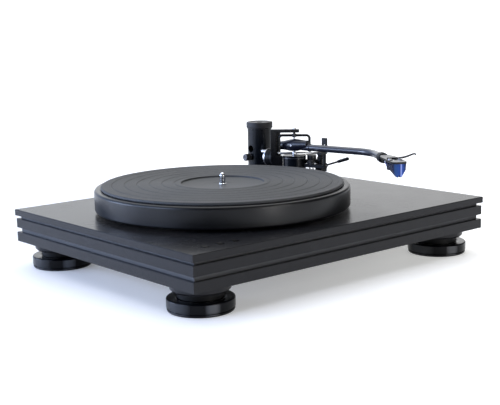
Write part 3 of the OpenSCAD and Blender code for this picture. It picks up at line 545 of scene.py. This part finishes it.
# ------------------------------------------------------------------ feet
RING_R, RING_H, BORE_R = 36.5, 14.4, 4.1
foot_profile = [
    (0, 0.5), (30, 0.5, 0.3), (30.5, 0, 0.3), (RING_R - 1.6, 0, 0.8), (RING_R - 0.5, 1.2, 0.8),
    (RING_R - 0.5, 3.0, 0.3), (RING_R - 1.3, 3.3, 0.2), (RING_R - 1.3, 4.1, 0.2), (RING_R, 4.4, 0.3),
    (RING_R, 13.5, 0.5), (RING_R - 0.9, RING_H, 0.5), (27, RING_H, 0.5), (26, 13.6, 0.4), (5, 13.6, 0.3),
    (5, 14.2, 0.2), (BORE_R, RING_H, 0.1), (BORE_R, 3.2)]
for fx, fy, body in FEET:
    lathe(body + "_disc", rounded(foot_profile, 0.4, 4), foot_gloss, body, shift(fx, fy), n=144,
          stands_for=[body.replace("foot_", "foot_ring_")], slot="gloss_black", smooth=30)

# ------------------------------------------------------------------ speed keys: a raised ring round a cup
KEY_R, KEY_Y = 4.2, -158
KEY_X = {"33": -197.6, "45": -178.0, "78": -158.4}
key_profile = [
    (0, DECK - 10.6), (2, DECK - 10.6, 0.2), (2, DECK - 9.4, 0.1), (5.6, DECK - 9.4, 0.2),
    (5.6, DECK - 7.8, 0.2), (KEY_R, DECK - 7.8, 0.1), (KEY_R, DECK + 0.5, 0.35),
    (3.3, DECK + 0.5, 0.25), (3.0, DECK + 0.15, 0.3), (1.6, DECK - 0.05, 0.6), (0, DECK - 0.1)]
for name, kx in KEY_X.items():
    lathe("key_cap_" + name, rounded(key_profile, 0.2, 3), key_black, "key_" + name, shift(kx, KEY_Y), n=64,
          stands_for=["speed_key_" + name], slot="gloss_black")

# ------------------------------------------------------------------ height tower
TOWER_H, DIAL_T, DIAL_GAP, DIAL_R, SCREW_R = 79.8, 9.1, 0.3, 18.9, 3.95
SHELL_TOP = DECK + TOWER_H - DIAL_T - DIAL_GAP
DIAL_Z = SHELL_TOP + DIAL_GAP
dial_profile = [
    (SCREW_R, DIAL_Z), (18.0, DIAL_Z, 0.3), (DIAL_R, DIAL_Z + 0.8, 0.4), (DIAL_R, DIAL_Z + 8.1, 0.5),
    (18.2, DIAL_Z + 9.0, 0.4), (17.0, DIAL_Z + 9.09, 0.2), (14.9, DIAL_Z + 9.09, 0.3),
    (13.9, DIAL_Z + 8.3, 0.3), (SCREW_R, DIAL_Z + 8.1, 0.2), (SCREW_R, DIAL_Z)]
lathe("tower_dial", rounded(dial_profile, 0.3, 3), dial_turned, "dial", AT_TOWER, n=360,
      stands_for=["height_dial"], slot="dial_grey", ripple=knurl(0.22, 90, DIAL_Z + 0.9, DIAL_Z + 7.6))

OUT_OF_TOWER = turn(-PI / 2, "Y")
LOCK_Z, LOCK_R = DECK + 30, 5.0
lock_profile = [
    (0, 13.9), (2.5, 13.9, 0.2), (2.5, 17.8, 0.1), (3.4, 17.8, 0.2),
    (3.4, 19.4, 0.2), (4.4, 19.4, 0.2), (LOCK_R, 20.0, 0.3), (LOCK_R, 28.3, 0.4),
    (4.3, 29.1, 0.4), (2.6, 29.1, 0.3), (2.2, 28.6, 0.3), (0, 28.6)]
lathe("lock_knob", rounded(lock_profile, 0.2, 3), knob_metal, "lock",
      AT_TOWER @ shift(0, 0, LOCK_Z) @ OUT_OF_TOWER, n=144,
      ripple=knurl(0.35, 24, 20.0, 28.3), stands_for=["height_lock"], slot="dial_grey")
rim_profile = [(5.2, -0.6), (6.1, -0.6, 0.2), (6.1, 0.25, 0.3), (5.2, 0.25, 0.3)]
lathe("tower_hole_rim", rounded(rim_profile, 0.2, 3, True) + rim_profile[:1], tower_gloss, "plinth",
      AT_TOWER @ shift(-17.0, 0, DECK + 41.5) @ OUT_OF_TOWER, n=64, slot="tower_black")
index_profile = [(17.4, SHELL_TOP - 0.5), (17.65, SHELL_TOP - 0.5, 0.1),
                 (17.65, SHELL_TOP, 0.15), (17.4, SHELL_TOP)]
lathe("dial_index_ring", rounded(index_profile, 0.1), knob_black, "plinth", AT_TOWER, n=128, slot="steel")

# ------------------------------------------------------------------ arm base
UPRIGHT = turn(PI / 2, "X")
BEAM_Z = DECK + 69.9
BEAM_TOP = BEAM_Z + 4.4
collar_profile = [(16.0, DECK + 34.2), (16.35, DECK + 34.2, 0.15),
                  (16.35, DECK + 35.4, 0.15), (16.0, DECK + 35.4)]
lathe("post_collar_ring", rounded(collar_profile, 0.1), arm_gloss, "carriage", AT_PIVOT, n=128,
      slot="tower_black")
yoke_outline = [(-33, 84.0, 0.3), (-16.3, 84.0, 0.3), (-16.3, 108.0, 1.2), (-25, 108.0, 2.0),
                (-25, BEAM_Z, 1.6), (7, BEAM_Z, 0.6), (7, BEAM_TOP, 1.0), (-33, BEAM_TOP, 2.0)]
slab("yoke", rounded(yoke_outline, 0.5, 5, True), -4.2, 4.2, arm_satin, "carriage", IN_CAGE @ UPRIGHT,
     bevel=0.35, segments=3, stands_for=["bearing_yoke"], slot="arm_black")
back_outline = [(-32, 85.0, 0.3), (-19.5, 85.0, 0.3), (-19.5, BEAM_Z + 0.6, 1.5), (-32, BEAM_Z + 0.6, 0.3)]
slab("yoke_back_plate", rounded(back_outline, 0.4, 4, True), -4.1, -2.4, arm_satin, "carriage",
     IN_CAGE @ UPRIGHT, bevel=0.25, segments=2, slot="arm_black")


def head(name, r, h, hex_r, finish, body, at, slot=None):
    verts, faces = socket_head(r, h, hex_r, h * 0.6)
    add(name, verts, faces, finish, body, at, smooth=35, slot=slot)


head("yoke_top_screw", 2.6, 1.5, 1.1, steel, "carriage", IN_CAGE @ shift(0, 0, BEAM_TOP), "steel")
for k, z in enumerate((92.0, 98.5)):
    head(f"yoke_foot_screw_{k}", 2.1, 1.2, 0.9, steel, "carriage",
         IN_CAGE @ shift(-29, 4.2, z) @ ALONG_Y, "steel")

# bent rod over the pivot, with a boss up to the beam
BAR_Z = DECK + 40.7
CAGE_TOP, CAGE_FOOT = DECK + 65.7, BAR_Z + 2.25
CAGE_HALF, CAGE_BEND = 21.2, 4.4
quarter = [PI / 2 * k / 8 for k in range(9)]
path = [(-CAGE_HALF, 0, CAGE_FOOT), (-CAGE_HALF, 0, CAGE_TOP - CAGE_BEND - 2)]
path += [(-CAGE_HALF + CAGE_BEND - CAGE_BEND * math.cos(a), 0,
          CAGE_TOP - CAGE_BEND + CAGE_BEND * math.sin(a)) for a in quarter]
path += [(-8, 0, CAGE_TOP), (8, 0, CAGE_TOP)]
path += [(CAGE_HALF - CAGE_BEND + CAGE_BEND * math.sin(a), 0,
          CAGE_TOP - CAGE_BEND + CAGE_BEND * math.cos(a)) for a in quarter]
path += [(CAGE_HALF, 0, CAGE_TOP - CAGE_BEND - 2), (CAGE_HALF, 0, CAGE_FOOT)]
boss_profile = [(0, CAGE_TOP - 2.2), (3.2, CAGE_TOP - 2.2, 0.5), (3.2, CAGE_TOP + 2.2, 0.5),
                (1.6, CAGE_TOP + 2.4, 0.2), (1.6, BEAM_Z), (0, BEAM_Z)]
AS_IS = Matrix.Identity(4)
add("cage_rod",
    *merged([(*tube_data(path, 1.8, 24), AS_IS), (*lathe_data(rounded(boss_profile, 0.3, 3), 48), AS_IS)]),
    arm_satin, "carriage", IN_CAGE, stands_for=["bearing_cage"], slot="arm_black", smooth=45)

bar_profile = [
    (0, -24.3), (1.4, -24.1, 0.8), (2.2, -22.9, 0.9), (2.2, -21.4, 0.9), (1.45, -20.0, 0.3),
    (1.45, -19.3, 0.2), (1.9, -19.1, 0.2), (1.9, 19.1, 0.2), (1.45, 19.3, 0.2),
    (1.45, 20.0, 0.3), (2.2, 21.4, 0.9), (2.2, 22.9, 0.9), (1.4, 24.1, 0.8), (0, 24.3)]
seat_profile = [(0, DECK + 37.8), (3.2, DECK + 37.8, 0.3), (3.2, BAR_Z + 2.0, 0.4), (0, BAR_Z + 2.0)]
add("cross_bar", *merged([(*lathe_data(rounded(bar_profile, 0.3, 4), 40), shift(0, 0, BAR_Z) @ ALONG_X),
                          (*lathe_data(rounded(seat_profile, 0.3, 3), 48), AS_IS)]),
    nickel, "carriage", IN_CAGE, stands_for=["cage_crossbar"], slot="chrome", smooth=45)

# bulged hub of the arm
HUB_HALF, HUB_END_R, HUB_BULGE = 24, 5.9, 2.7
HUB_TILT = math.radians(-4.5)
bulge = [(HUB_END_R + HUB_BULGE * (1 + math.cos(PI * k / 20)) / 2, HUB_HALF * k / 20)
         for k in range(-19, 20)]
hub_back = rounded([(0, -HUB_HALF), (5.2, -HUB_HALF, 0.5), (HUB_END_R, -23.6, 0.4)], 0.3, 4)
hub_front = rounded([(HUB_END_R, 23.6, 0.4), (5.2, HUB_HALF, 0.5), (0, HUB_HALF)], 0.3, 4)
lathe("hub_shell", hub_back + bulge + hub_front, hub_black, "arm",
      IN_ARM @ shift(0, 0, HUB_Z) @ turn(HUB_TILT, "X") @ ALONG_Y, n=160, stands_for=["arm_hub"],
      slot="arm_tube_black", smooth=40)

# ------------------------------------------------------------------ lift, rest and anti-skate
LIFT_WAY = math.radians(-42.5)


def toward_lift(reach):
    return AT_PIVOT @ shift(reach * math.cos(LIFT_WAY), reach * math.sin(LIFT_WAY))


LIFT = toward_lift(37)
PINS_Z = DECK + 26.5
bracket_pin_profile = [(0, PINS_Z - 9.6), (0.9, PINS_Z - 9.6, 0.3), (1.15, PINS_Z - 8.8, 0.2),
                       (1.15, PINS_Z - 6.2, 0.2), (0.9, PINS_Z - 5.8, 0.1), (0.9, PINS_Z + 0.4)]
for k, reach in enumerate((21.5, 26.0)):
    lathe(f"bracket_pin_{k}", rounded(bracket_pin_profile, 0.1),
          chrome, "carriage", toward_lift(reach), n=24, slot="chrome")
gland_profile = [(4.7, DECK + 39.4), (5.1, DECK + 39.4, 0.2), (5.1, DECK + 40.5, 0.3), (4.7, DECK + 40.6)]
lathe("lift_gland", rounded(gland_profile, 0.2), nickel, "carriage", LIFT, n=48, slot="steel")
sleeve_profile = [(6.0, DECK + 32.2), (6.35, DECK + 32.2, 0.2),
                  (6.35, DECK + 37.6, 0.2), (6.0, DECK + 37.8)]
lathe("adjuster_sleeve", rounded(sleeve_profile, 0.2), knob_black, "carriage", toward_lift(24), n=120,
      ripple=knurl(0.25, 26, DECK + 32.5, DECK + 37.3), slot="dial_grey")

SKATE_R = 5.4
SKATE_AT = IN_ARM @ turn(math.radians(12)) @ shift(0, -25)
SKATE_Z = DECK + 34.5 - 12.5 + 4.1
skate_profile = [
    (0, SKATE_Z - 3.6), (1.5, SKATE_Z - 3.6, 0.1), (1.5, SKATE_Z, 0.1), (5.0, SKATE_Z, 0.3),
    (SKATE_R, SKATE_Z + 0.5, 0.2), (SKATE_R, SKATE_Z + 4.0, 0.3), (4.8, SKATE_Z + 4.6, 0.3),
    (4.4, SKATE_Z + 5.4, 0.3), (1.6, SKATE_Z + 5.4, 0.3), (1.2, SKATE_Z + 5.0, 0.2), (0, SKATE_Z + 5.0)]
lathe("skate_dial", rounded(skate_profile, 0.2, 3), knob_black, "skate", SKATE_AT, n=120,
      ripple=knurl(0.25, 30, SKATE_Z + 0.5, SKATE_Z + 4.0), stands_for=["antiskate_dial"], slot="dial_grey")

# lever with a barrel at its root and a tapered grip
LEVER_X, LEVER_Z = 7.6, DECK + 21.7
LEVER_RISE = math.radians(17.1)
grip = [(0.0, 1.3), (25.0, 1.3), (26.0, 1.45), (27.5, 2.0), (30, 2.2), (44, 2.35), (46.6, 2.3), (47.7, 1.8),
        (48.2, 0.8)]
stem = tube_data([(LEVER_X, -t * math.cos(LEVER_RISE), t * math.sin(LEVER_RISE)) for t, _ in grip],
                 [r for _, r in grip], 28)
axle_profile = [(0, -3.5), (1.6, -3.5, 0.2), (1.6, -2.0, 0.1), (3.9, -2.0, 0.3), (3.9, 2.0, 0.3),
                (1.6, 2.0, 0.1), (1.6, 5.8, 0.1), (3.8, 5.8, 0.4), (3.8, 9.8, 0.6), (0, 9.8)]
axle = lathe_data(rounded(axle_profile, 0.2, 3), 48)
add("lever", *merged([(*stem, AS_IS), (*axle, ALONG_X)]), weight_black, "lever",
    LIFT @ shift(0, 0, LEVER_Z), stands_for=["cue_lever"], slot="weight_black", smooth=45)

# ------------------------------------------------------------------ counterweight
WEIGHT_R, WEIGHT_L, FACE_R = 12.0, 15.0, 10.4
WEIGHT_AT = IN_ARM @ shift(0, 32.0, DECK + 32.5) @ ALONG_Y
weight_profile = [
    (7.0, 0.8, 0.4), (9.8, 0.8, 0.4), (FACE_R, 0, 0.3), (WEIGHT_R - 0.7, 0, 0.4),
    (WEIGHT_R, 0.8, 0.4), (WEIGHT_R, 4.6, 0.15), (WEIGHT_R - 0.4, 4.8, 0.1),
    (WEIGHT_R - 0.4, 5.6, 0.1), (WEIGHT_R, 5.8, 0.15), (WEIGHT_R, WEIGHT_L - 1.6, 0.1),
    (WEIGHT_R - 0.3, WEIGHT_L - 1.5, 0.1), (WEIGHT_R - 0.3, WEIGHT_L - 0.1),
    (FACE_R, WEIGHT_L - 0.1, 0.3), (9.8, WEIGHT_L - 0.8, 0.4), (7.0, WEIGHT_L - 0.8, 0.4)]
lathe("weight_disc", [(0, 0.8)] + rounded(weight_profile, 0.3, 4) + [(0, WEIGHT_L - 0.8)], weight_black,
      "weight", WEIGHT_AT, n=144, stands_for=["counterweight"], slot="weight_black", smooth=30)
weight_rim_profile = [(WEIGHT_R - 0.3, WEIGHT_L - 2.4), (WEIGHT_R + 0.35, WEIGHT_L - 2.4, 0.2),
                      (WEIGHT_R + 0.35, WEIGHT_L, 0.4), (WEIGHT_R - 1.2, WEIGHT_L, 0.3)]
lathe("weight_rim", rounded(weight_rim_profile, 0.2, 3), nickel, "weight", WEIGHT_AT, n=144, slot="chrome")

# ------------------------------------------------------------------ headshell end
lock_collar_profile = [
    (4.8, 46), (5.9, 46, 0.3), (6.3, 46.5, 0.2), (6.3, 47.4, 0.1), (6.7, 47.6, 0.2), (6.7, 58.4, 0.2),
    (6.3, 58.6, 0.1), (6.3, 59.5, 0.2), (5.9, 60, 0.3), (4.8, 60)]
lathe("lock_collar", rounded(lock_collar_profile, 0.2, 3), weight_black, "collar",
      IN_SHELL @ shift(0, 0, ARM_Z) @ turn(PI / 2, "X"), n=144, ripple=knurl(0.3, 18, 47.6, 58.4, 0.4),
      stands_for=["shell_collar"], slot="arm_tube_black")

HOOK_THICK, HOOK_TAPER = 1.4, 0.55
hook_points = [(7.8, -100, 0.75), (11, -100, 0.8), (15, -100.1, 1.5), (19, -100.5, 2.6), (23, -101.2, 4.2),
               (26.4, -101.9, 5.3), (27.9, -102.2, 4.9), (28.5, -102.3, 3.9)]
hook_path = smooth_path([(x, y, PLATE_TOP + z) for x, y, z in hook_points], 6)
count = len(hook_path)
rod("finger_hook", hook_path, [HOOK_THICK - HOOK_TAPER * k / count for k in range(count)],
    hook_black, "arm", IN_SHELL, 16, stands_for=["finger_lift"], slot="steel")
root_profile = [(0, -7.2), (1.1, -7.2, 0.2), (1.1, 7.6, 0.2), (0, 7.6)]
lathe("finger_root", rounded(root_profile, 0.2), hook_black, "arm",
      IN_SHELL @ shift(0, -100, PLATE_TOP + 0.55) @ ALONG_X, n=24, slot="steel")

SCREW_X, SCREW_Y = 6.35, -(STYLUS - 9.5)
washer_profile = [(1.3, 0), (2.7, 0, 0.1), (2.7, 0.28, 0.1), (1.3, 0.28)]
for k, sx in enumerate((-SCREW_X, SCREW_X)):
    head(f"cartridge_screw_{k}", 2.3, 1.6, 0.95, plastic, "arm",
         IN_SHELL @ shift(sx, SCREW_Y, PLATE_TOP + 0.25), "steel")
    lathe(f"cartridge_washer_{k}", rounded(washer_profile, 0.08), steel, "arm",
          IN_SHELL @ shift(sx, SCREW_Y, PLATE_TOP), n=32, slot="steel")

# four leads from the plug at the arm to the cartridge's pins
BODY_TOP, PIN_BACK = PLATE_TOP - 2.55, -(STYLUS - 20.5)
lead_pin_profile = [(0, 0), (0.62, 0, 0.1), (0.62, 4.6, 0.2), (0, 4.6)]
clip_profile = [(0.66, 1.6), (1.05, 1.6, 0.15), (1.05, 6.4, 0.3), (0.5, 7.0, 0.2)]
LEADS = ((-4.2, -4.2, white_ring), (4.2, -4.2, red_ring), (-4.2, -8.2, blue_wire), (4.2, -8.2, green_wire))
for k, (sx, sz, finish) in enumerate(LEADS):
    pin_z = BODY_TOP + sz
    pin_at = IN_SHELL @ shift(sx, PIN_BACK, pin_z) @ ALONG_Y
    lathe(f"cartridge_pin_{k}", rounded(lead_pin_profile, 0.1), brass, "arm", pin_at, n=20, slot="brass")
    lathe(f"lead_clip_{k}", rounded(clip_profile, 0.15), brass, "arm", pin_at, n=20, slot="brass")
    wire = smooth_path([(sx, PIN_BACK + 6.6, pin_z), (sx * 1.05, PIN_BACK + 10.5, pin_z + 0.6),
                        (sx * 1.0, PIN_BACK + 16, pin_z + 2.4 - sz * 0.08),
                        (sx * 0.75, PIN_BACK + 22, ARM_Z - 2.6 + sz * 0.18 + 0.7),
                        (sx * 0.5, -71.5, ARM_Z + 2.2 + sz * 0.4)], 7)
    rod(f"lead_{k}", wire, 0.55, finish, "arm", IN_SHELL, 14)

# ------------------------------------------------------------------ connectors
PLATE_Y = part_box("terminal_plate")[1].y / MM
JACK_Z = DECK - 24.5
jack_profile = [(4.05, 1.6), (5.6, 1.6, 0.2), (5.6, 2.9, 0.3), (4.05, 2.9)]
for k, (jx, finish) in enumerate(((-132.0, white_ring), (-114.0, red_ring))):
    lathe(f"jack_ring_{k}", rounded(jack_profile, 0.2), finish,
          "plinth", shift(jx, PLATE_Y, JACK_Z) @ ALONG_Y, n=48)
ground_profile = [(2.05, 3.3), (4.9, 3.3, 0.3), (4.9, 8.2, 0.4), (4.0, 8.6, 0.3), (2.05, 8.6)]
lathe("ground_knob", rounded(ground_profile, 0.3, 3), brass, "plinth",
      shift(-96.0, PLATE_Y, JACK_Z) @ ALONG_Y, n=120, ripple=knurl(0.25, 30, 3.6, 7.9), slot="brass")

# ------------------------------------------------------------------ screws under the plinth
screws = ((-217, -167), (217, -167), (-217, 167), (217, 167), (0, -164), (0, 164), (-214, 0), (214, 0))
heads = merged([(*socket_head(4.4, 2.6, 2.0, 1.6),
                 shift(x, y, FOOT_H + 2.9) @ turn(PI, "X")) for x, y in screws])
add("board_screw_heads", *heads, steel, "plinth", slot="steel", smooth=35)

# ------------------------------------------------------------------ camera, floor and light
CAMERA_AT = (-0.82459, -0.96629, 0.29704)
LENS, SENSOR = 74.2, 36
yaw, pitch, roll = math.radians(40.42), math.radians(10.095), -0.0197677
right = Vector((math.cos(yaw), -math.sin(yaw), 0))
ahead = Vector((math.sin(yaw) * math.cos(pitch), math.cos(yaw) * math.cos(pitch), -math.sin(pitch)))
up = right.cross(ahead)
cam_x = right * math.cos(roll) + up * math.sin(roll)
cam_y = -right * math.sin(roll) + up * math.cos(roll)
cam_data = bpy.data.cameras.new("camera")
cam_data.lens, cam_data.sensor_width = LENS, SENSOR
camera = bpy.data.objects.new("camera", cam_data)
camera.matrix_world = Matrix.Translation(CAMERA_AT) @ Matrix((cam_x, cam_y, -ahead)).transposed().to_4x4()
bpy.context.scene.collection.objects.link(camera)
bpy.context.scene.camera = camera


def floor():
    verts, faces = lathe_data([(0, 0), (0.5, 0), (2, 0), (12, 0)], 96)
    mesh = bpy.data.meshes.new("floor")
    mesh.from_pydata(verts, [], faces)
    paint = surface("floor_painted_glow", (0.80, 0.80, 0.81), 0.6, spread=0.01, grain=60)
    t = paint.node_tree
    # The floor glows, a painted light: dim and bluish near the plinth towards the left, bright to the right
    # and far out, which lifts the shadow there.
    place = shader_node(t, "TexCoord")
    side = remap(t, amount_along(t, place, "Object", ACROSS), "Value", -0.45, 0.40)
    far = remap(t, shader_node(t, "VectorMath", place, "Object", 0, "LENGTH"), "Value", 0.45, 0.95)
    ramp = colour_ramp(t, larger(t, side, far), "Value",
                       [(0.0, (0.055, 0.063, 0.090)), (1.0, (0.51, 0.51, 0.49))])
    glow = t.nodes["Principled BSDF"]
    link(t, ramp, "Color", glow, "Emission Color")
    glow.inputs["Emission Strength"].default_value = 1.0
    mesh.materials.append(paint)
    o = bpy.data.objects.new("floor", mesh)
    bpy.context.scene.collection.objects.link(o)


def area(name, where, at, size, power, color=(1, 1, 1)):
    data = bpy.data.lights.new(name, "AREA")
    data.shape, data.size, data.size_y = "RECTANGLE", size[0], size[1]
    data.energy, data.color = power, color
    o = bpy.data.objects.new(name, data)
    o.location = where
    o.rotation_mode = "QUATERNION"
    o.rotation_quaternion = (Vector(at) - Vector(where)).to_track_quat("-Z", "Y")
    bpy.context.scene.collection.objects.link(o)


floor()
area("top", (0.1, 0.35, 2.0), (0, 0, 0), (3.0, 2.4), 24)
area("front_box", (0.45, -1.9, 0.75), (0, 0, 0.08), (0.24, 1.1), 6.5, (1.0, 0.98, 0.96))
area("front_strip", (0.017, -1.83, 0.17), (-0.15, -0.1, 0.04), (0.06, 0.30), 5.0, (1.0, 0.98, 0.96))
area("front_fill", (-0.35, -2.2, 0.8), (0, 0, 0.05), (1.2, 0.6), 4.5, (1.0, 0.98, 0.96))
area("left_sky", (-2.2, 0.3, 0.8), (-0.1, 0, 0.08), (1.5, 1.0), 40.0, (0.52, 0.66, 1.0))
area("back_left", (-1.75, 1.7, 0.45), (-0.2, 0, 0.05), (1.3, 0.8), 44.0, (0.60, 0.72, 1.0))
area("left_strip", (-1.5, 0.1, 0.45), (-0.19, -0.1, 0.03), (0.10, 0.8), 1.6, (0.92, 0.96, 1.0))

world = bpy.data.worlds.new("studio")
world.use_nodes = True
bpy.context.scene.world = world
wt = world.node_tree
way = shader_node(wt, "TexCoord")


def room_tint(direction, stops):
    """Colour ramp over how far a direction in the room points along `direction`, from -1 to 1."""
    along = amount_along(wt, way, "Generated", Vector(direction).normalized())
    return colour_ramp(wt, remap(wt, along, "Value", -1, 1), "Result",
                       [((at + 1) / 2, c) for at, c in stops])


# bright behind the object and overhead, dark behind the camera, bluer on the left
depth_fade = room_tint((0.66, 0.74, 0.10), [
    (-0.80, (0.02,) * 3), (-0.35, (0.22,) * 3), (0.05, (0.75,) * 3), (0.60, (1.0,) * 3)])
side_tint = room_tint(-ACROSS, [
    (-0.75, (0.05, 0.05, 0.05)), (-0.42, (0.30, 0.30, 0.30)), (-0.26, (0.92, 0.92, 0.92)),
    (0.2, (0.93, 0.96, 1.0)), (0.8, (0.34, 0.48, 0.80))])
blend = shader_node(wt, "VectorMath", depth_fade, "Color", 0, "MULTIPLY")
link(wt, side_tint, "Color", blend, 1)
link(wt, blend, "Vector", wt.nodes["Background"], "Color")
wt.nodes["Background"].inputs["Strength"].default_value = 1.6
bpy.context.scene.view_settings.view_transform = "Standard"
bpy.context.scene.view_settings.look = "None"
